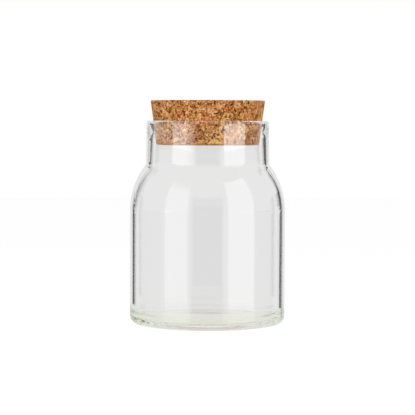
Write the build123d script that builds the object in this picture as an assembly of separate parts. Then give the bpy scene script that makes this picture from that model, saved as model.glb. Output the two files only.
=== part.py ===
from build123d import *
import os
from math import acos, asin, cos, degrees, radians, sin, sqrt, tan

# A glass storage jar with a tapered cork stopper, in millimetres.
# +Z is up. The origin is the centre of the ring that the jar stands on.

# Jar body
body_radius = 42.5
body_wall = 1.85
straight_height = 62.1  # from the table to where the shoulder starts to draw in

# Jar foot and base
heel_radius = 4.4  # outer bend between the wall and the foot ring
foot_width = 4.0  # flat ring that meets the table
base_thickness = 3.2
underside_dome_radius = 600.0  # the hollow under the base, so that only the ring stands
underside_blend_radius = 6.0
floor_dome_radius = 700.0  # the floor inside rises a little, like the underside
floor_heel_radius = 6.0

# Jar shoulder
shoulder_step = 8.8  # how far the neck stands in from the body
shoulder_radius = 40.2
neck_foot_radius_blend = 3.0  # outer hollow where the shoulder meets the neck
shoulder_lead = 2.0  # the inside turns in this much lower, which thickens the shoulder
inner_blend_radius = 8.0

# Jar neck
neck_height = 22.8
neck_draft = 0.2  # the neck is this much slimmer at its top
neck_foot_wall = 2.5
neck_top_wall = 3.0

# Fire-polished rim, with the bead inside it that grips the stopper
lip_outer_radius = 1.4
lip_inner_radius = 1.7
rim_land = 0.7
bead_height = 9.0

# Cork stopper
stopper_height = 24.0
stopper_taper = 7.3  # degrees, each side
stopper_depth = 12.9  # how far its lower face lies below the rim
stopper_edge_cut = 0.5  # the cut that takes the sharpness off both of its edges
seat_clearance = 0.05  # between the cork and the bead, square to the cork's side

# Jar places worked out from the sizes above
inner_radius = body_radius - body_wall
neck_foot_radius = body_radius - shoulder_step
neck_top_radius = neck_foot_radius - neck_draft
neck_foot_bore = neck_foot_radius - neck_foot_wall
neck_top_bore = neck_top_radius - neck_top_wall
mouth_radius = neck_top_radius - lip_outer_radius - rim_land - lip_inner_radius
foot_outer_radius = body_radius - heel_radius
foot_inner_radius = foot_outer_radius - foot_width


def bend_angle(step, low_bend, high_bend):
    """Degrees that each arc of an S turns, when the S moves a wall in by step."""
    return degrees(acos(1 - step / (low_bend + high_bend)))


def bend_rise(step, low_bend, high_bend):
    """Height of that S."""
    return (low_bend + high_bend) * sin(radians(bend_angle(step, low_bend, high_bend)))


shoulder_top = straight_height + bend_rise(shoulder_step, shoulder_radius, neck_foot_radius_blend)
jar_height = shoulder_top + neck_height
lip_centre_radius = mouth_radius + lip_inner_radius
lip_centre_height = jar_height - lip_inner_radius
bead_foot_height = lip_centre_height - bead_height


def s_curve(low_radius, high_radius, start_height, low_bend, high_bend):
    """Two tangent arcs that lead an upright wall in from low_radius to high_radius."""
    step = low_radius - high_radius
    turn = bend_angle(step, low_bend, high_bend)
    top_height = start_height + bend_rise(step, low_bend, high_bend)
    lower = CenterArc((low_radius - low_bend, start_height), low_bend, 0, turn)
    upper = CenterArc((high_radius + high_bend, top_height), high_bend, 180, turn)
    return [lower, upper]


def outside_outline():
    """Foot ring, heel, wall, shoulder, neck and the outer half of the rim, upwards."""
    foot = Line((foot_inner_radius, 0), (foot_outer_radius, 0))
    heel = CenterArc((foot_outer_radius, heel_radius), heel_radius, -90, 90)
    wall = Line((body_radius, heel_radius), (body_radius, straight_height))
    shoulder = s_curve(
        body_radius, neck_foot_radius, straight_height, shoulder_radius, neck_foot_radius_blend
    )
    lip_height = jar_height - lip_outer_radius
    lip_radius = neck_top_radius - lip_outer_radius
    neck = Line((neck_foot_radius, shoulder_top), (neck_top_radius, lip_height))
    lip = CenterArc((lip_radius, lip_height), lip_outer_radius, 0, 90)
    land = Line((lip_radius, jar_height), (lip_centre_radius, jar_height))
    return [foot, heel, wall, *shoulder, neck, lip, land]


def inside_outline(floor_height):
    """Inner half of the rim, bead, neck, shoulder, wall and floor, downwards."""
    lip = CenterArc((lip_centre_radius, lip_centre_height), lip_inner_radius, 90, 90)
    bead_step = neck_top_bore - mouth_radius
    bead_bend = (bead_step**2 + bead_height**2) / (4 * bead_step)
    bead = s_curve(neck_top_bore, mouth_radius, bead_foot_height, bead_bend, bead_bend)
    inner_start = straight_height - shoulder_lead
    inner_bend = shoulder_radius - body_wall
    inner_step = inner_radius - neck_foot_bore
    inner_top = inner_start + bend_rise(inner_step, inner_bend, inner_blend_radius)
    neck = Line((neck_top_bore, bead_foot_height), (neck_foot_bore, inner_top))
    shoulder = s_curve(inner_radius, neck_foot_bore, inner_start, inner_bend, inner_blend_radius)
    # The floor's dome and the heel bend touch where both lean by the same angle.
    heel_centre_radius = inner_radius - floor_heel_radius
    reach = floor_dome_radius + floor_heel_radius
    lean = asin(heel_centre_radius / reach)
    dome_centre_height = floor_height - floor_dome_radius
    heel_centre_height = dome_centre_height + reach * cos(lean)
    wall = Line((inner_radius, inner_start), (inner_radius, heel_centre_height))
    heel = CenterArc(
        (heel_centre_radius, heel_centre_height), floor_heel_radius, 0, -90 - degrees(lean)
    )
    dome = CenterArc((0, dome_centre_height), floor_dome_radius, 90, -degrees(lean))
    return [lip, *bead, neck, *shoulder, wall, heel, dome]


def underside_outline(push_up):
    """Hollow under the base: a shallow dome that blends into the foot ring."""
    lean = degrees(asin(foot_inner_radius / (underside_dome_radius + underside_blend_radius)))
    dome = CenterArc((0, push_up - underside_dome_radius), underside_dome_radius, 90, -lean)
    blend = CenterArc(
        (foot_inner_radius, underside_blend_radius), underside_blend_radius, -90, -lean
    )
    return [dome, blend]


def turned(outline):
    """Solid of a closed half section, drawn with radius across and height up."""
    section = Plane.XZ * make_face(outline)
    return revolve(section, axis=Axis.Z)


def glass_jar():
    """One piece of glass: base, body, shoulder, neck and rim."""
    reach = underside_dome_radius + underside_blend_radius
    push_up = reach - sqrt(reach**2 - foot_inner_radius**2)
    floor_height = push_up + base_thickness
    outline = underside_outline(push_up) + outside_outline() + inside_outline(floor_height)
    outline.append(Line((0, push_up), (0, floor_height)))
    print(f"jar height {jar_height:.2f}, mouth radius {mouth_radius:.2f}, push-up {push_up:.2f}")
    return turned(outline)


def cork_stopper():
    """Tapered plug whose side rests on the bead all round."""
    slope = tan(radians(stopper_taper))
    contact = (lip_inner_radius + seat_clearance) / cos(radians(stopper_taper))
    lower_height = jar_height - stopper_depth
    upper_height = lower_height + stopper_height
    side_radius = lip_centre_radius - contact  # of its side, level with the lip's centre
    lower_radius = side_radius - (lip_centre_height - lower_height) * slope
    upper_radius = side_radius + (upper_height - lip_centre_height) * slope
    cut_across = stopper_edge_cut * sin(radians(stopper_taper))
    cut_up = stopper_edge_cut * cos(radians(stopper_taper))
    side = Polyline(
        (0, lower_height),
        (lower_radius - stopper_edge_cut, lower_height),
        (lower_radius + cut_across, lower_height + cut_up),
        (upper_radius - cut_across, upper_height - cut_up),
        (upper_radius - stopper_edge_cut, upper_height),
        (0, upper_height),
    )
    axis_line = Line((0, upper_height), (0, lower_height))
    print(f"stopper radius {lower_radius:.2f} to {upper_radius:.2f}, top at {upper_height:.2f}")
    return turned([side, axis_line])


os.makedirs("parts", exist_ok=True)
for name, make in {"glass_jar": glass_jar, "cork_stopper": cork_stopper}.items():
    part = make()
    part.label = name
    export_step(part, f"parts/{name}.step")
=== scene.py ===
import bpy
import bmesh
import math
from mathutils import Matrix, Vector


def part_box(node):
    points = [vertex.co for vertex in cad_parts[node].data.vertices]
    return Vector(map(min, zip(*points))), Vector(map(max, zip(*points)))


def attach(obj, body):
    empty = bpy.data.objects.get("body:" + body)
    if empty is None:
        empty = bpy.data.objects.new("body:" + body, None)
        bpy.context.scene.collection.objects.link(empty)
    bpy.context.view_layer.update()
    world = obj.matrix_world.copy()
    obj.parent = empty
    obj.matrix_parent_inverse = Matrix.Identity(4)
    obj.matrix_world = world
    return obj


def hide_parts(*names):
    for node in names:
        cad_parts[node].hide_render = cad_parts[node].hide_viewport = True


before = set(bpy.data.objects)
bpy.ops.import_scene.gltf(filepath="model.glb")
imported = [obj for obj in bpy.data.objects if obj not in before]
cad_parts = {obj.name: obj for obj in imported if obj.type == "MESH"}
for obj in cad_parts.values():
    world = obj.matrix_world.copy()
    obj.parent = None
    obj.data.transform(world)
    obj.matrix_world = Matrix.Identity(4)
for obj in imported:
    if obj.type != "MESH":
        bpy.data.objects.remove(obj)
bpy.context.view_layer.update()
_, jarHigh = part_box("glass_jar")
corkLow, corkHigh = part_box("cork_stopper")
mm = 0.001
sameSpot = 1e-4          # mm: points closer than this are one
poleGap = 1e-3           # mm: within this the turned ends close on the axis


# small helpers

def hexColour(text):
    # sRGB hex to the linear values that the nodes take
    parts = [int(text[i:i + 2], 16) / 255 for i in (1, 3, 5)]
    linear = [c / 12.92 if c <= 0.04045 else ((c + 0.055) / 1.055) ** 2.4 for c in parts]
    return (*linear, 1.0)


def addNode(tree, kind, values=None, links=None, **settings):
    # one node with its settings, socket values and incoming links
    node = tree.nodes.new(kind)
    for name, value in settings.items():
        setattr(node, name, value)
    for socket, value in (values or {}).items():
        node.inputs[socket].default_value = value
    for socket, source in (links or {}).items():
        tree.links.new(source, node.inputs[socket])
    return node


def newMaterial(name):
    material = bpy.data.materials.new(name)
    material.use_nodes = True
    material.node_tree.nodes.clear()
    return material, material.node_tree


def newTree(name, inputs):
    # an empty geometry tree with named inputs, each (name, socket type, default)
    tree = bpy.data.node_groups.new(name, "GeometryNodeTree")
    tree.interface.new_socket("Geometry", in_out="INPUT", socket_type="NodeSocketGeometry")
    for label, kind, value in inputs:
        socket = tree.interface.new_socket(label, in_out="INPUT", socket_type=kind)
        if value is not None:
            socket.default_value = value
    tree.interface.new_socket("Geometry", in_out="OUTPUT", socket_type="NodeSocketGeometry")
    return tree, tree.nodes.new("NodeGroupInput"), tree.nodes.new("NodeGroupOutput")


def arcPoints(centre, radius, start, end, steps):
    # points on an arc in the radius and height plane, angles in degrees
    turns = [math.radians(start + (end - start) * i / steps) for i in range(steps + 1)]
    return [(centre[0] + radius * math.cos(t), centre[1] + radius * math.sin(t)) for t in turns]


def linePoints(start, end, steps):
    return [tuple(a + (b - a) * i / steps for a, b in zip(start, end)) for i in range(steps + 1)]


def joined(stretches):
    # one run of points, without the doubles where two stretches meet
    run = []
    for point in (p for stretch in stretches for p in stretch):
        if not run or math.dist(run[-1], point) > sameSpot:
            run.append(point)
    return run


def profileObject(name, points):
    # an open curve with its points in metres, radius along X and height along Y
    curve = bpy.data.curves.new(name, "CURVE")
    spline = curve.splines.new("POLY")
    spline.points.add(len(points) - 1)
    for target, (radius, height) in zip(spline.points, points):
        target.co = (radius * mm, height * mm, 0.0, 1.0)
    thing = bpy.data.objects.new(name, curve)
    bpy.context.scene.collection.objects.link(thing)
    return thing


def withTree(thing, tree, settings):
    # puts a geometry tree on an object, with its inputs set by identifier
    modifier = thing.modifiers.new(tree.name, "NODES")
    modifier.node_group = tree
    for item in tree.interface.items_tree:
        if item.in_out == "INPUT" and item.name in settings:
            modifier[item.identifier] = settings[item.name]


def plainMesh(thing, name):
    # turns the tree's result into a mesh of its own, closed and facing outwards
    evaluated = thing.evaluated_get(bpy.context.evaluated_depsgraph_get())
    mesh = bpy.data.meshes.new_from_object(evaluated)
    source = thing.data
    bpy.data.objects.remove(thing)
    if isinstance(source, bpy.types.Curve):
        bpy.data.curves.remove(source)
    work = bmesh.new()
    work.from_mesh(mesh)
    bmesh.ops.remove_doubles(work, verts=work.verts, dist=sameSpot * mm)
    bmesh.ops.recalc_face_normals(work, faces=work.faces)
    openEdges = sum(len(e.link_faces) != 2 for e in work.edges)
    work.to_mesh(mesh)
    work.free()
    mesh.name = name
    piece = bpy.data.objects.new(name, mesh)
    bpy.context.scene.collection.objects.link(piece)
    print(name, len(mesh.polygons), "faces,", openEdges, "open edges")
    return piece


# lathe: turns a profile about the Z axis, with the unevenness of blown glass

def latheTree():
    tree, given, result = newTree("turnedOnAxis", [
        ("Segments", "NodeSocketInt", 256),
        ("Ring Radius", "NodeSocketFloat", 0.05),
        ("Wave Depth", "NodeSocketFloat", 0.0),
        ("Wave Width", "NodeSocketFloat", 0.02),
        ("Wall Drift", "NodeSocketFloat", 0.0),
        ("Even From", "NodeSocketFloat", 0.1),
        ("Uneven Below", "NodeSocketFloat", 0.07),
        ("Finish", "NodeSocketMaterial", None),
    ])
    ring = addNode(tree, "GeometryNodeCurvePrimitiveCircle", mode="RADIUS", links={
        "Resolution": given.outputs["Segments"], "Radius": given.outputs["Ring Radius"]})
    inwards = addNode(tree, "ShaderNodeMath", operation="MULTIPLY", values={1: -1.0},
                      links={0: given.outputs["Ring Radius"]})
    shift = addNode(tree, "ShaderNodeCombineXYZ", links={"X": inwards.outputs[0]})
    moved = addNode(tree, "GeometryNodeTransform", values={"Scale": (1, -1, 1)}, links={
        "Geometry": given.outputs["Geometry"], "Translation": shift.outputs[0]})
    swept = addNode(tree, "GeometryNodeCurveToMesh", links={
        "Curve": ring.outputs["Curve"], "Profile Curve": moved.outputs["Geometry"]})
    merged = addNode(tree, "GeometryNodeMergeByDistance", values={"Distance": poleGap * mm},
                     links={"Geometry": swept.outputs["Mesh"]})
    outwards = addNode(tree, "GeometryNodeFlipFaces", links={"Mesh": merged.outputs["Geometry"]})
    place = addNode(tree, "GeometryNodeInputPosition")
    flat = addNode(tree, "ShaderNodeVectorMath", operation="MULTIPLY", values={1: (1, 1, 0)},
                   links={0: place.outputs[0]})
    away = addNode(tree, "ShaderNodeVectorMath", operation="NORMALIZE",
                   links={0: flat.outputs[0]})
    # shallow waves, which only ever move the surface towards the axis
    perWidth = addNode(tree, "ShaderNodeMath", operation="DIVIDE", values={0: 1.0},
                       links={1: given.outputs["Wave Width"]})
    wave = addNode(tree, "ShaderNodeTexNoise", noise_dimensions="3D",
                   values={"Detail": 1.0, "Roughness": 0.4},
                   links={"Vector": place.outputs[0], "Scale": perWidth.outputs[0]})
    below = addNode(tree, "ShaderNodeMath", operation="SUBTRACT", values={1: 1.0},
                    links={0: wave.outputs["Fac"]})
    depth = addNode(tree, "ShaderNodeMath", operation="MULTIPLY",
                    links={0: below.outputs[0], 1: given.outputs["Wave Depth"]})
    waves = addNode(tree, "ShaderNodeVectorMath", operation="SCALE",
                    links={0: away.outputs[0], "Scale": depth.outputs[0]})
    # the inside sits a little off the axis, so the wall grows from one side to the other
    normal = addNode(tree, "GeometryNodeInputNormal")
    facing = addNode(tree, "ShaderNodeVectorMath", operation="DOT_PRODUCT",
                     links={0: normal.outputs[0], 1: away.outputs[0]})
    inside = addNode(tree, "ShaderNodeMapRange", values={"From Min": 0.0, "From Max": -1.0},
                     links={"Value": facing.outputs["Value"]})
    drift = addNode(tree, "ShaderNodeMath", operation="MULTIPLY",
                    links={0: inside.outputs[0], 1: given.outputs["Wall Drift"]})
    side = addNode(tree, "ShaderNodeVectorMath", operation="ADD", values={1: (1, 0, 0)},
                   links={0: away.outputs[0]})
    sideways = addNode(tree, "ShaderNodeVectorMath", operation="SCALE",
                       links={0: side.outputs[0], "Scale": drift.outputs[0]})
    both = addNode(tree, "ShaderNodeVectorMath", operation="ADD",
                   links={0: waves.outputs[0], 1: sideways.outputs[0]})
    # the moulded neck is even: waves and drift fade out between the two heights given
    height = addNode(tree, "ShaderNodeSeparateXYZ", links={0: place.outputs[0]})
    share = addNode(tree, "ShaderNodeMapRange", interpolation_type="SMOOTHSTEP", links={
        "Value": height.outputs["Z"], "From Min": given.outputs["Even From"],
        "From Max": given.outputs["Uneven Below"]})
    offset = addNode(tree, "ShaderNodeVectorMath", operation="SCALE",
                     links={0: both.outputs[0], "Scale": share.outputs[0]})
    uneven = addNode(tree, "GeometryNodeSetPosition", links={
        "Geometry": outwards.outputs["Mesh"], "Offset": offset.outputs[0]})
    smooth = addNode(tree, "GeometryNodeSetShadeSmooth",
                     links={"Geometry": uneven.outputs["Geometry"]})
    real = addNode(tree, "GeometryNodeRealizeInstances",
                   links={"Geometry": smooth.outputs["Geometry"]})
    finished = addNode(tree, "GeometryNodeSetMaterial", links={
        "Geometry": real.outputs["Geometry"], "Material": given.outputs["Finish"]})
    tree.links.new(finished.outputs["Geometry"], result.inputs[0])
    return tree


# glass jar, sizes in millimetres as the real jar has them

glass = {
    "bodyRadius": jarHigh.x / mm,
    "height": jarHigh.z / mm,
    "wall": 2.24,            # on its thinner side
    "straightHeight": 62.1,  # from the table to where the shoulder starts
    "heelRadius": 4.4,
    "footWidth": 4.0,        # flat ring that meets the table
    "baseThickness": 3.2,
    "undersideDome": 600.0,
    "undersideBlend": 6.0,
    "floorDome": 700.0,
    "floorHeel": 6.0,
    "shoulderStep": 8.8,     # how far the neck stands in from the body
    "shoulderRadius": 40.2,
    "shoulderBlend": 3.0,
    "shoulderCrease": 1.0,   # the wall runs up this much more, then cuts across to the curve
    "shoulderLead": 1.0,     # the inside turns in this much lower
    "innerBlend": 8.0,
    "neckDraft": 0.2,        # the neck is this much slimmer at its top
    "neckFootWall": 2.5,
    "neckTopWall": 3.0,
    "lipOuter": 1.4,
    "lipInner": 1.7,
    "rimLand": 0.7,          # flat between the two bends of the rim
    "beadHeight": 9.0,
    "segments": 320,
    # faces along each stretch of the half section
    "domeSteps": 12,
    "blendSteps": 3,
    "heelSteps": 18,
    "wallSteps": 24,
    "shoulderSteps": 16,
    "creaseSteps": 3,        # of the shoulder's, which the crease replaces
    "neckSteps": 12,
    "boreSteps": 10,
    "lipSteps": 10,
    "beadSteps": 8,
    "endFace": 0.25,         # a short face where a wall meets a bend
    "waveDepth": 0.06,       # of the surface, in the blown body
    "waveWidth": 22.0,       # from one wave to the next
    "wallDrift": -0.21,      # the inside's shift, which leaves the right wall thicker
    "evenFrom": 80.0,        # height above which the glass is moulded true
    "unevenBelow": 56.0,     # height below which waves and drift are full
    "tint": "#E8F9B3",       # the iron's colour, with its strength in the next value
    "tintDensity": 0.8,
    "shadowTint": "#FFFFF8",  # of light that goes straight through to cork and table
    "ior": 1.52,
}


def wallPoints(start, end, steps):
    # a straight run, with a short face at each end that keeps the bend's shading out of it
    share = glass["endFace"] / math.dist(start, end)
    shares = [0, share, *(i / steps for i in range(1, steps)), 1 - share, 1]
    return [tuple(a + (b - a) * t for a, b in zip(start, end)) for t in shares]


def sCurve(lowRadius, highRadius, start, lowBend, highBend, steps):
    # two arcs that lead an upright wall in from lowRadius to highRadius, upwards
    step = lowRadius - highRadius
    turn = math.degrees(math.acos(1 - step / (lowBend + highBend)))
    top = start + (lowBend + highBend) * math.sin(math.radians(turn))
    lower = arcPoints((lowRadius - lowBend, start), lowBend, 0, turn, steps)
    upper = arcPoints((highRadius + highBend, top), highBend, 180 + turn, 180, steps)
    return joined([lower, upper])


def undersideRun(g):
    # the hollow under the base and its blend into the foot ring, outwards, and its height
    footInner = g["bodyRadius"] - g["heelRadius"] - g["footWidth"]
    reach = g["undersideDome"] + g["undersideBlend"]
    lean = math.degrees(math.asin(footInner / reach))
    pushUp = reach - math.sqrt(reach ** 2 - footInner ** 2)
    under = arcPoints((0, pushUp - g["undersideDome"]), g["undersideDome"], 90, 90 - lean,
                      g["domeSteps"])
    blend = arcPoints((footInner, g["undersideBlend"]), g["undersideBlend"], -90 - lean, -90,
                      g["blendSteps"])
    return joined([under, blend]), pushUp


def outsideRun(g, neckFoot, neckTop):
    # heel, wall, shoulder, neck and the outer half of the rim, upwards
    body, top = g["bodyRadius"], g["height"]
    heel = arcPoints((body - g["heelRadius"], g["heelRadius"]), g["heelRadius"], -90, 0,
                     g["heelSteps"])
    shoulder = sCurve(body, neckFoot, g["straightHeight"], g["shoulderRadius"],
                      g["shoulderBlend"], g["shoulderSteps"])
    # it starts with a faint crease, or the strip of sky would show as a line there
    cut = g["creaseSteps"]
    crease = wallPoints((body, g["straightHeight"] + g["shoulderCrease"]), shoulder[cut], 1)
    lip = arcPoints((neckTop - g["lipOuter"], top - g["lipOuter"]), g["lipOuter"], 0, 90,
                    g["lipSteps"])
    return joined([
        heel, wallPoints(heel[-1], crease[0], g["wallSteps"]), crease, shoulder[cut + 1:],
        wallPoints(shoulder[-1], lip[0], g["neckSteps"]), lip,
    ])


def insideRun(g, neckFoot, neckTop, floor):
    # the inner half of the rim, bead, neck, shoulder, wall and floor, downwards
    inner, top = g["bodyRadius"] - g["wall"], g["height"]
    mouth = neckTop - g["lipOuter"] - g["rimLand"] - g["lipInner"]
    lip = arcPoints((mouth + g["lipInner"], top - g["lipInner"]), g["lipInner"], 90, 180,
                    g["lipSteps"])
    bore = neckTop - g["neckTopWall"]
    beadStep = bore - mouth
    beadBend = (beadStep ** 2 + g["beadHeight"] ** 2) / (4 * beadStep)
    beadFoot = top - g["lipInner"] - g["beadHeight"]
    bead = sCurve(bore, mouth, beadFoot, beadBend, beadBend, g["beadSteps"])
    shoulder = sCurve(
        inner, neckFoot - g["neckFootWall"], g["straightHeight"] - g["shoulderLead"],
        g["shoulderRadius"] - g["wall"], g["innerBlend"], g["shoulderSteps"])
    # the floor's dome and its heel bend touch where both lean by the same angle
    heelCentre = inner - g["floorHeel"]
    reach = g["floorDome"] + g["floorHeel"]
    lean = math.asin(heelCentre / reach)
    domeCentre = floor - g["floorDome"]
    heelHeight = domeCentre + reach * math.cos(lean)
    heel = arcPoints((heelCentre, heelHeight), g["floorHeel"], 0, -90 - math.degrees(lean),
                     g["heelSteps"])
    dome = arcPoints((0, domeCentre), g["floorDome"], 90 - math.degrees(lean), 90,
                     g["domeSteps"])
    return joined([
        lip, bead[::-1], wallPoints(bead[0], shoulder[-1], g["boreSteps"]), shoulder[::-1],
        wallPoints(shoulder[0], heel[0], g["wallSteps"]), heel, dome,
    ])


def jarProfile(g):
    # half section from the centre of the underside, round the outside, to the floor's centre
    neckFoot = g["bodyRadius"] - g["shoulderStep"]
    neckTop = neckFoot - g["neckDraft"]
    underside, pushUp = undersideRun(g)
    return joined([
        underside,
        outsideRun(g, neckFoot, neckTop),
        insideRun(g, neckFoot, neckTop, pushUp + g["baseThickness"]),
    ])


def glassMaterial():
    # soda-lime glass, blown and fire-polished: clear, hard gloss, with the grey-green
    # that iron in the sand gives, which only shows where the glass is thick
    material, tree = newMaterial("sodaLimeGlass")
    body = addNode(tree, "ShaderNodeBsdfPrincipled", values={
        "Base Color": (1, 1, 1, 1), "Roughness": 0.0, "IOR": glass["ior"],
        "Transmission Weight": 1.0})
    tint = addNode(tree, "ShaderNodeVolumeAbsorption", values={
        "Color": hexColour(glass["tint"]), "Density": glass["tintDensity"]})
    # light reaches the cork and the table straight through the glass, hardly tinted
    path = addNode(tree, "ShaderNodeLightPath")
    clear = addNode(tree, "ShaderNodeBsdfTransparent",
                    values={"Color": hexColour(glass["shadowTint"])})
    forShadow = addNode(tree, "ShaderNodeMixShader", links={
        0: path.outputs["Is Shadow Ray"], 1: body.outputs[0], 2: clear.outputs[0]})
    forDiffuse = addNode(tree, "ShaderNodeMixShader", links={
        0: path.outputs["Is Diffuse Ray"], 1: forShadow.outputs[0], 2: clear.outputs[0]})
    addNode(tree, "ShaderNodeOutputMaterial", links={
        "Surface": forDiffuse.outputs[0], "Volume": tint.outputs[0]})
    return material


lathe = latheTree()
profile = profileObject("jarProfile", jarProfile(glass))
withTree(profile, lathe, {
    "Segments": glass["segments"], "Ring Radius": glass["bodyRadius"] * mm,
    "Wave Depth": glass["waveDepth"] * mm, "Wave Width": glass["waveWidth"] * mm,
    "Wall Drift": glass["wallDrift"] * mm, "Even From": glass["evenFrom"] * mm,
    "Uneven Below": glass["unevenBelow"] * mm, "Finish": glassMaterial()})
jar = plainMesh(profile, "blown_glass_jar")
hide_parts("glass_jar")
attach(jar, "jar")
print("jar made")


# cork stopper

cork = {
    "lowRadius": 28.19,      # both radii are a hair inside the solid's
    "highRadius": 31.26,
    "low": corkLow.z / mm,
    "raised": 0.4,           # its lower face, which the photo shows a little higher
    "high": corkHigh.z / mm,
    "edge": 0.7,             # the worn bend of both edges
    "edgeSteps": 4,
    "segments": 420,
    "rowSpacing": 0.45,
    "granule": 3.4,          # how far apart the pressed granules of ground bark are
    "crumb": 1.3,            # and the finer crumbs between them
    "wander": 0.55,          # how far the granules' edges wander
    "noiseReach": 0.25,      # how far the noise strays from its middle
    "joint": 0.50,           # width of the open joints, drawn as wide as they need to show
    "patch": 2.2,            # spacing of the patches where joints are open
    "openFrom": 0.5,         # of the noise: a higher value leaves fewer open joints
    "openFull": 0.58,
    "pit": 1.5,              # spacing of the pits that fell out when the side was ground
    "pitsFrom": 0.61,        # of the noise: a higher value leaves fewer pits
    "pitsFull": 0.65,
    "relief": 0.3,           # depth of joints and pits
    "grain": 0.95,           # texture inside a granule, coarser than in real bark
    "grainDepth": 0.25,      # how deep that texture looks
    # from the painted shade in the open joints and pits to the palest granules
    "tones": (("#40200A", 0.0), ("#743A14", 0.18), ("#985629", 0.36), ("#B8743D", 0.5),
              ("#CE8D53", 0.64), ("#E4AC74", 0.82), ("#F6D09C", 1.0)),
    # where along those tones it starts, and what each thing adds
    "toneStart": -0.48,
    "byGranule": 0.32,
    "byCrumb": 0.22,
    "byGrain": 1.75,
    # painted shade: how much darker the open joints and pits are made, on top of the relief
    "byPaintedGapShade": -0.75,
    # casts that some granules have: the colour, and the share of granules without it
    "golden": ("#FFFFE2", 0.45),
    "reddish": ("#FFEDEC", 0.55),
    "castBlend": 0.2,
    "roughness": 0.85,
    "specular": 0.25,
}


def corkProfile(c):
    def rows(length):
        return max(1, round(length / c["rowSpacing"]))

    low, high, edge = c["low"] + c["raised"], c["high"], c["edge"]
    lower = arcPoints((c["lowRadius"] - edge, low + edge), edge, -90, 0, c["edgeSteps"])
    upper = arcPoints((c["highRadius"] - edge, high - edge), edge, 0, 90, c["edgeSteps"])
    return joined([
        linePoints((0, low), lower[0], rows(c["lowRadius"])), lower,
        linePoints(lower[-1], upper[0], rows(high - low)), upper,
        linePoints(upper[-1], (0, high), rows(c["highRadius"])),
    ])


def granules(tree, place, c):
    # the pattern of pressed granules, which the mesh and the material read alike
    warp = addNode(tree, "ShaderNodeTexNoise", values={
        "Scale": 1 / (c["crumb"] * mm), "Detail": 2.0}, links={"Vector": place})
    about = addNode(tree, "ShaderNodeVectorMath", operation="SUBTRACT",
                    values={1: (0.5, 0.5, 0.5)}, links={0: warp.outputs["Color"]})
    nudge = addNode(tree, "ShaderNodeVectorMath", operation="SCALE",
                    values={"Scale": c["wander"] * mm / c["noiseReach"]},
                    links={0: about.outputs[0]})
    moved = addNode(tree, "ShaderNodeVectorMath", operation="ADD",
                    links={0: place, 1: nudge.outputs[0]}).outputs[0]
    cells = addNode(tree, "ShaderNodeTexVoronoi", values={"Scale": 1 / (c["granule"] * mm)},
                    links={"Vector": moved})
    border = addNode(tree, "ShaderNodeTexVoronoi", feature="DISTANCE_TO_EDGE",
                     values={"Scale": 1 / (c["granule"] * mm)}, links={"Vector": moved})
    near = addNode(tree, "ShaderNodeMapRange", values={
        "From Min": c["joint"] / c["granule"] / 2, "From Max": 0.0},
        links={"Value": border.outputs["Distance"]})
    # only part of the joints are open
    patches = addNode(tree, "ShaderNodeTexNoise", values={
        "Scale": 1 / (c["patch"] * mm), "Detail": 1.0}, links={"Vector": moved})
    opened = addNode(tree, "ShaderNodeMapRange", values={
        "From Min": c["openFrom"], "From Max": c["openFull"]},
        links={"Value": patches.outputs["Fac"]})
    joint = addNode(tree, "ShaderNodeMath", operation="MULTIPLY",
                    links={0: near.outputs[0], 1: opened.outputs[0]})
    holes = addNode(tree, "ShaderNodeTexNoise", values={
        "Scale": 1 / (c["pit"] * mm), "Detail": 1.0, "Roughness": 0.4}, links={"Vector": place})
    pit = addNode(tree, "ShaderNodeMapRange", values={
        "From Min": c["pitsFrom"], "From Max": c["pitsFull"]},
        links={"Value": holes.outputs["Fac"]})
    low = addNode(tree, "ShaderNodeMath", operation="MAXIMUM",
                  links={0: joint.outputs[0], 1: pit.outputs[0]})
    return cells, low.outputs[0], moved


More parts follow.
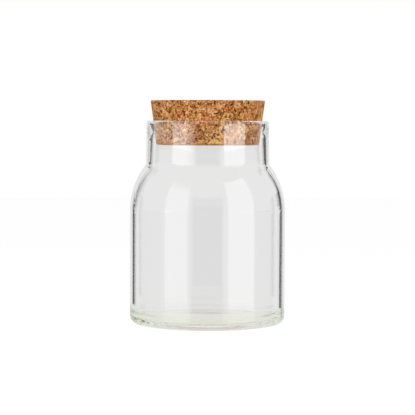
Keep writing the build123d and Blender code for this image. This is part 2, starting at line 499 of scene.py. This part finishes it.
def corkMaterial():
    # agglomerated cork: bark ground to granules and pressed with a binder, matt and dry, each
    # granule of its own brown, with open joints and pits where crumbs fell out, darkened as
    # painted shade
    c = cork
    material, tree = newMaterial("agglomeratedCork")
    place = addNode(tree, "ShaderNodeTexCoord").outputs["Object"]
    cells, low, moved = granules(tree, place, c)
    parts = addNode(tree, "ShaderNodeSeparateColor", links={0: cells.outputs["Color"]})
    crumbs = addNode(tree, "ShaderNodeTexVoronoi", values={"Scale": 1 / (c["crumb"] * mm)},
                     links={"Vector": moved})
    crumb = addNode(tree, "ShaderNodeSeparateColor", links={0: crumbs.outputs["Color"]})
    grain = addNode(tree, "ShaderNodeTexNoise", values={
        "Scale": 1 / (c["grain"] * mm), "Detail": 3.0, "Roughness": 0.6}, links={"Vector": place})
    whole = addNode(tree, "ShaderNodeMath", operation="MULTIPLY_ADD",
                    values={1: c["byGranule"], 2: c["toneStart"]}, links={0: parts.outputs[0]})
    finer = addNode(tree, "ShaderNodeMath", operation="MULTIPLY_ADD",
                    values={1: c["byCrumb"]}, links={0: crumb.outputs[0], 2: whole.outputs[0]})
    tone = addNode(tree, "ShaderNodeMath", operation="MULTIPLY_ADD",
                   values={1: c["byGrain"]}, links={0: grain.outputs["Fac"], 2: finer.outputs[0]})
    # painted shade: the open joints and pits, which the relief presses in, are darkened in colour
    # too
    dark = addNode(tree, "ShaderNodeMath", operation="MULTIPLY_ADD",
                   values={1: c["byPaintedGapShade"]}, links={0: low, 2: tone.outputs[0]})
    brown = addNode(tree, "ShaderNodeValToRGB", links={0: dark.outputs[0]})
    ramp = brown.color_ramp
    for text, share in c["tones"][1:-1]:
        ramp.elements.new(share).color = hexColour(text)
    ramp.elements[0].color = hexColour(c["tones"][0][0])
    ramp.elements[-1].color = hexColour(c["tones"][-1][0])
    shown = brown.outputs[0]
    for channel, (text, start) in ((1, c["golden"]), (2, c["reddish"])):
        share = addNode(tree, "ShaderNodeMapRange", values={
            "From Min": start, "From Max": start + c["castBlend"]},
            links={"Value": parts.outputs[channel]})
        # the colour sockets of a Mix node are 6 and 7, and its colour output is 2
        shown = addNode(tree, "ShaderNodeMix", data_type="RGBA", blend_type="MULTIPLY",
                        values={7: hexColour(text)},
                        links={0: share.outputs[0], 6: shown}).outputs[2]
    bump = addNode(tree, "ShaderNodeBump", values={
        "Strength": 0.5, "Distance": c["grainDepth"] * mm}, links={"Height": tone.outputs[0]})
    body = addNode(tree, "ShaderNodeBsdfPrincipled", values={
        "Roughness": c["roughness"], "Specular IOR Level": c["specular"]},
        links={"Base Color": shown, "Normal": bump.outputs[0]})
    addNode(tree, "ShaderNodeOutputMaterial", links={"Surface": body.outputs[0]})
    return material


def reliefTree():
    # presses the joints and pits into the cork, inwards only
    tree, given, result = newTree("granuleRelief", [
        ("Depth", "NodeSocketFloat", 0.0001), ("Finish", "NodeSocketMaterial", None)])
    place = addNode(tree, "GeometryNodeInputPosition").outputs[0]
    low = granules(tree, place, cork)[1]
    depth = addNode(tree, "ShaderNodeMath", operation="MULTIPLY",
                    links={0: low, 1: given.outputs["Depth"]})
    back = addNode(tree, "ShaderNodeMath", operation="MULTIPLY", values={1: -1.0},
                   links={0: depth.outputs[0]})
    normal = addNode(tree, "GeometryNodeInputNormal")
    offset = addNode(tree, "ShaderNodeVectorMath", operation="SCALE",
                     links={0: normal.outputs[0], "Scale": back.outputs[0]})
    pressed = addNode(tree, "GeometryNodeSetPosition", links={
        "Geometry": given.outputs["Geometry"], "Offset": offset.outputs[0]})
    real = addNode(tree, "GeometryNodeRealizeInstances",
                   links={"Geometry": pressed.outputs["Geometry"]})
    finished = addNode(tree, "GeometryNodeSetMaterial", links={
        "Geometry": real.outputs["Geometry"], "Material": given.outputs["Finish"]})
    tree.links.new(finished.outputs["Geometry"], result.inputs[0])
    return tree


profile = profileObject("corkProfile", corkProfile(cork))
corkFinish = corkMaterial()
withTree(profile, lathe, {
    "Segments": cork["segments"], "Ring Radius": cork["highRadius"] * mm,
    "Finish": corkFinish})
withTree(profile, reliefTree(), {"Depth": cork["relief"] * mm, "Finish": corkFinish})
stopper = plainMesh(profile, "granulated_cork_stopper")
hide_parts("cork_stopper")
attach(stopper, "stopper")
print("stopper made")


# studio in metres: floor, world, lamps, reflected windows and dark slits

studio = {
    "white": 1.0,            # what the camera sees past the jar
    "throughGlass": 0.80,    # the backdrop as the clear glass shows it
    "inGloss": 0.79,         # the pale room that the glass mirrors
    "onMatt": 0.55,          # light from all round on the cork and floor
    "floorRadius": 1.5,
    "floorOwn": 0.86,        # what the table shows by itself, which keeps its shadow faint
    "floorMatt": 0.22,       # and its share of the light that falls on it
    "floorBounce": "#E8E8E8",  # its colour for the light that it throws back on the jar
    "paintedLightUnderJar": "#E4E6D8",   # painted light: a glowing disc seen only through the glass, tinted like the table lit through it
    "underJarDrop": 0.0002,  # how far it lies below the foot ring
    "discSegments": 96,
    "windowDistance": 20.0,
    "slitDistance": 0.9,
    "cardSteps": 8,          # faces across a card, which bend it round the jar
    "ceiling": ((-0.6, -0.1), (0.6, 0.9)),   # two corners, from above
    "ceilingHeight": 1.0,
    "ceilingLevel": 5.0,     # a lit ceiling, mirrored by the rounded rim
    "lampDistance": 0.9,
    "lampSize": 0.5,
    "lampAim": 0.07,         # height of the spot on the axis that they point at
    # compass angle, height and watts of each
    "lamps": {"key": (215.0, 0.55, 2.6), "fill": (140.0, 0.35, 1.9)},
    # what the glass mirrors: compass edges in degrees from the camera's side, how many of them
    # each edge fades over, then its level at each height in metres
    "mirrored": (
        # the dark end of the room, with the camera
        (-26.0, 25.0, (4.0, 4.0), ((-3.2, 0.0), (8.0, 0.0), (8.5, 0.79))),
        # left window: its lower part, bright sky at the height of the cork, its upper part
        (-67.5, -27.0, (4.0, 4.0), ((-3.2, 1.3), (-2.3, 1.3), (-2.1, 2.5), (-0.8, 2.5))),
        (-71.0, -23.0, (4.0, 20.0), ((-0.8, 2.5), (-0.45, 3.3), (0.045, 3.3), (0.095, 6.4),
                                     (0.455, 6.4), (0.5, 2.7))),
        (-67.5, -27.0, (4.0, 4.0), ((0.5, 2.7), (10.8, 2.7), (17.8, 0.79))),
        # the pale wall beside it
        (-116.0, -71.0, (2.0, 2.0), ((-3.2, 0.45), (0.045, 0.45), (0.095, 1.5), (0.455, 1.5),
                                     (0.5, 0.79))),
        # right window and wall
        (28.5, 75.0, (4.0, 4.0), ((-3.2, 1.3), (-2.3, 1.3), (-2.1, 2.8), (-0.8, 2.8),
                                  (-0.45, 3.3), (0.045, 3.3), (0.095, 7.6), (0.455, 7.6),
                                  (0.5, 2.8), (18.6, 2.8), (20.3, 0.79))),
        (75.0, 116.0, (2.0, 2.0), ((-3.2, 0.45), (0.045, 0.45), (0.095, 0.0), (0.455, 0.0),
                                   (0.5, 0.79))),
    ),
    # parts of the room again, for light that comes back out of the glass
    "fromInside": (
        (-26.0, 25.0, (4.0, 4.0), ((-3.2, 0.42), (-0.8, 0.42), (-0.45, 0.6), (-0.1, 0.6),
                                   (0.05, 0.1), (0.48, 0.1), (0.6, 0.42), (8.0, 0.42),
                                   (8.5, 0.79))),
        (75.0, 116.0, (2.0, 2.0), ((-0.05, 0.79), (0.05, 0.2), (0.48, 0.2), (0.58, 0.79))),
    ),
    # dark slits that edge the glass: edges in degrees off straight back, how many of them the
    # far edge fades over, foot, top, level
    "darkSlits": (
        (-50.0, -31.4, 8.0, -0.085, 0.02, 0.0),
        (-38.0, -31.4, 0.0, 0.02, 0.15, 0.0),
        (-52.0, -37.2, 4.0, 0.058, 0.20, 0.0),
        (-41.0, -35.0, 0.0, 0.20, 0.30, 0.15),
        (-41.0, -38.0, 0.0, 0.30, 0.60, 0.0),
        (-38.0, -35.0, 0.0, 0.30, 0.60, 0.6),
        (-54.0, -41.0, 4.0, 0.20, 0.42, 0.0),
        (-54.0, -41.0, 4.0, 0.42, 0.60, 0.4),
        (-60.0, -41.0, 4.0, 0.60, 1.00, 0.3),
        (30.2, 44.0, 4.0, -0.10, 0.02, 0.0),
        (30.6, 38.0, 0.0, 0.02, 0.058, 0.0),
        (31.2, 52.0, 4.0, 0.058, 0.20, 0.0),
        (31.8, 43.0, 3.0, 0.20, 0.42, 0.0),
        (31.8, 44.0, 4.0, 0.42, 0.60, 0.6),
        (41.0, 60.0, 4.0, 0.60, 1.50, 0.0),
    ),
}


def seenBy(thing, *rays):
    for ray in ("camera", "diffuse", "glossy", "transmission", "volume_scatter", "shadow"):
        setattr(thing, "visible_" + ray, ray in rays)


def glowing():
    # light of the strength that the mesh's own attribute gives
    material, tree = newMaterial("glowing")
    level = addNode(tree, "ShaderNodeAttribute", attribute_name="level")
    light = addNode(tree, "ShaderNodeEmission", links={"Strength": level.outputs["Fac"]})
    addNode(tree, "ShaderNodeOutputMaterial", links={"Surface": light.outputs[0]})
    material.cycles.emission_sampling = "NONE"
    return material


def shownMesh(name, points, faces, levels, *rays):
    mesh = bpy.data.meshes.new(name)
    mesh.from_pydata(points, [], faces)
    mesh.attributes.new("level", "FLOAT", "POINT").data.foreach_set("value", levels)
    mesh.materials.append(glow)
    thing = bpy.data.objects.new(name, mesh)
    bpy.context.scene.collection.objects.link(thing)
    seenBy(thing, *rays)


def shownCard(name, distance, start, end, fades, heights, *rays):
    # an upright card round the jar between two compass angles, counted from +Y towards +X, that
    # glows by the level at each height and may fade to the room's level at either side
    steps = studio["cardSteps"]
    inner, width = start + fades[0], end - start - sum(fades)
    columns = [(inner + width * i / steps, 1.0) for i in range(steps + 1)]
    columns = [(start, 0.0)] * (fades[0] > 0) + columns + [(end, 0.0)] * (fades[1] > 0)
    points, levels = [], []
    for height, level in heights:
        for angle, share in columns:
            turn = math.radians(angle)
            points.append((distance * math.sin(turn), distance * math.cos(turn), height))
            levels.append(studio["inGloss"] + (level - studio["inGloss"]) * share)
    wide = len(columns)
    faces = [(i, i + 1, i + wide + 1, i + wide)
             for row in range(len(heights) - 1) for i in range(row * wide, row * wide + wide - 1)]
    shownMesh(name, points, faces, levels, *rays)


def makeCeiling():
    (left, near), (right, far) = studio["ceiling"]
    around = ((left, near), (right, near), (right, far), (left, far))
    corners = [(*corner, studio["ceilingHeight"]) for corner in around]
    shownMesh("ceiling", corners, [(0, 1, 2, 3)], [studio["ceilingLevel"]] * 4, "glossy")


def makeDisc(name, radius, height, material, *rays):
    mesh = bpy.data.meshes.new(name)
    work = bmesh.new()
    bmesh.ops.create_circle(work, cap_ends=True, segments=studio["discSegments"],
                            radius=radius)
    work.to_mesh(mesh)
    work.free()
    mesh.materials.append(material)
    material.cycles.emission_sampling = "NONE"
    thing = bpy.data.objects.new(name, mesh)
    thing.location.z = height
    bpy.context.scene.collection.objects.link(thing)
    seenBy(thing, *rays)


def makePaintedLightUnderJar():
    # painted light: a disc that glows in the tint of the table lit through the jar's green glass,
    # seen only through the glass
    material, tree = newMaterial("paintedLightUnderGlass")
    light = addNode(tree, "ShaderNodeEmission", values={"Color": hexColour(studio["paintedLightUnderJar"])})
    addNode(tree, "ShaderNodeOutputMaterial", links={"Surface": light.outputs[0]})
    makeDisc("paintedLightUnderJar", glass["bodyRadius"] * mm, -studio["underJarDrop"], material,
             "transmission")


def makeFloor():
    material, tree = newMaterial("paleTable")
    path = addNode(tree, "ShaderNodeLightPath")
    own = addNode(tree, "ShaderNodeEmission", values={"Strength": studio["floorOwn"]})
    thin = addNode(tree, "ShaderNodeBsdfDiffuse", values={
        "Color": (studio["floorMatt"],) * 3 + (1,)})
    shown = addNode(tree, "ShaderNodeAddShader", links={0: own.outputs[0], 1: thin.outputs[0]})
    matt = addNode(tree, "ShaderNodeBsdfDiffuse", values={
        "Color": hexColour(studio["floorBounce"])})
    mixed = addNode(tree, "ShaderNodeMixShader", links={
        0: path.outputs["Is Camera Ray"], 1: matt.outputs[0], 2: shown.outputs[0]})
    addNode(tree, "ShaderNodeOutputMaterial", links={"Surface": mixed.outputs[0]})
    makeDisc("floor", studio["floorRadius"], 0, material, "camera", "diffuse", "shadow")


def makeWorld():
    world = bpy.data.worlds.new("paleRoom")
    bpy.context.scene.world = world
    world.use_nodes = True
    tree = world.node_tree
    tree.nodes.clear()
    path = addNode(tree, "ShaderNodeLightPath")
    shown = None
    # a refracted ray counts as glossy too, so its own level is mixed in after that one
    for ray, key in ((None, "onMatt"), ("Is Glossy Ray", "inGloss"),
                     ("Is Transmission Ray", "throughGlass"), ("Is Camera Ray", "white")):
        back = addNode(tree, "ShaderNodeBackground", values={
            "Color": (1, 1, 1, 1), "Strength": studio[key]}).outputs[0]
        shown = back if ray is None else addNode(tree, "ShaderNodeMixShader", links={
            0: path.outputs[ray], 1: shown, 2: back}).outputs[0]
    addNode(tree, "ShaderNodeOutputWorld", links={"Surface": shown})


def makeLamp(name, compass, height, power):
    data = bpy.data.lights.new(name, "AREA")
    data.shape = "DISK"
    data.size = studio["lampSize"]
    data.energy = power
    lamp = bpy.data.objects.new(name, data)
    out, turn = studio["lampDistance"], math.radians(compass)
    lamp.location = (out * math.sin(turn), out * math.cos(turn), height)
    aim = Vector((0, 0, studio["lampAim"])) - lamp.location
    lamp.rotation_euler = aim.to_track_quat("-Z", "Y").to_euler()
    bpy.context.scene.collection.objects.link(lamp)
    seenBy(lamp, "diffuse")


makeFloor()
makePaintedLightUnderJar()
makeWorld()
glow = glowing()
makeCeiling()
for key, ray in (("mirrored", "glossy"), ("fromInside", "transmission")):
    for start, end, fades, heights in studio[key]:
        # counted from the camera's side, which is compass 180
        shownCard(key, studio["windowDistance"], 180 - end, 180 - start, fades[::-1], heights, ray)
for start, end, fade, foot, top, level in studio["darkSlits"]:
    fades = (0, fade) if start > 0 else (fade, 0)
    shownCard("dark", studio["slitDistance"], start, end, fades, ((foot, level), (top, level)),
              "transmission", "glossy")
for name, (compass, height, power) in studio["lamps"].items():
    makeLamp(name, compass, height, power)
print("studio set")


# camera, worked out from the photo: level with the rim, looking 3 degrees down

shot = {
    "photoSide": 415.0,      # pixels
    "focalPixels": 1750.0,
    "bodyPixels": 155.0,     # across the jar's body
    "axisPixel": 207.5,      # across
    "levelPixel": 117.0,     # down: the camera's own height
    "basePixel": 323.2,      # down: the table under the jar's axis
    "sensor": 36.0,          # mm
    "nearest": 0.05,         # metres, and so is the next
    "furthest": 20.0,
    "roll": 0.2,             # degrees, as the jar leans a little to the right
}


def makeCamera(s):
    perPixel = 2 * glass["bodyRadius"] * mm / s["bodyPixels"]
    distance = s["focalPixels"] * perPixel
    height = (s["basePixel"] - s["levelPixel"]) * perPixel
    data = bpy.data.cameras.new("camera")
    data.sensor_width = s["sensor"]
    data.lens = s["focalPixels"] * s["sensor"] / s["photoSide"]
    data.clip_start = s["nearest"]
    data.clip_end = s["furthest"]
    camera = bpy.data.objects.new("camera", data)
    middle = s["photoSide"] / 2
    down = math.atan((middle - s["levelPixel"]) / s["focalPixels"])
    across = math.atan((middle - s["axisPixel"]) / s["focalPixels"])
    camera.location = (0, -distance, height)
    camera.rotation_euler = (math.radians(90) - down, 0, -across)
    camera.rotation_euler.rotate_axis("Z", math.radians(s["roll"]))
    bpy.context.scene.collection.objects.link(camera)
    bpy.context.scene.camera = camera


makeCamera(shot)
scene = bpy.context.scene
scene.view_settings.view_transform = "Standard"
scene.cycles.caustics_refractive = False
scene.cycles.caustics_reflective = False
bounces = 512            # light runs a long way round inside the base
scene.cycles.max_bounces = bounces
scene.cycles.glossy_bounces = bounces
scene.cycles.transmission_bounces = bounces
scene.cycles.transparent_max_bounces = 32
print("camera set")
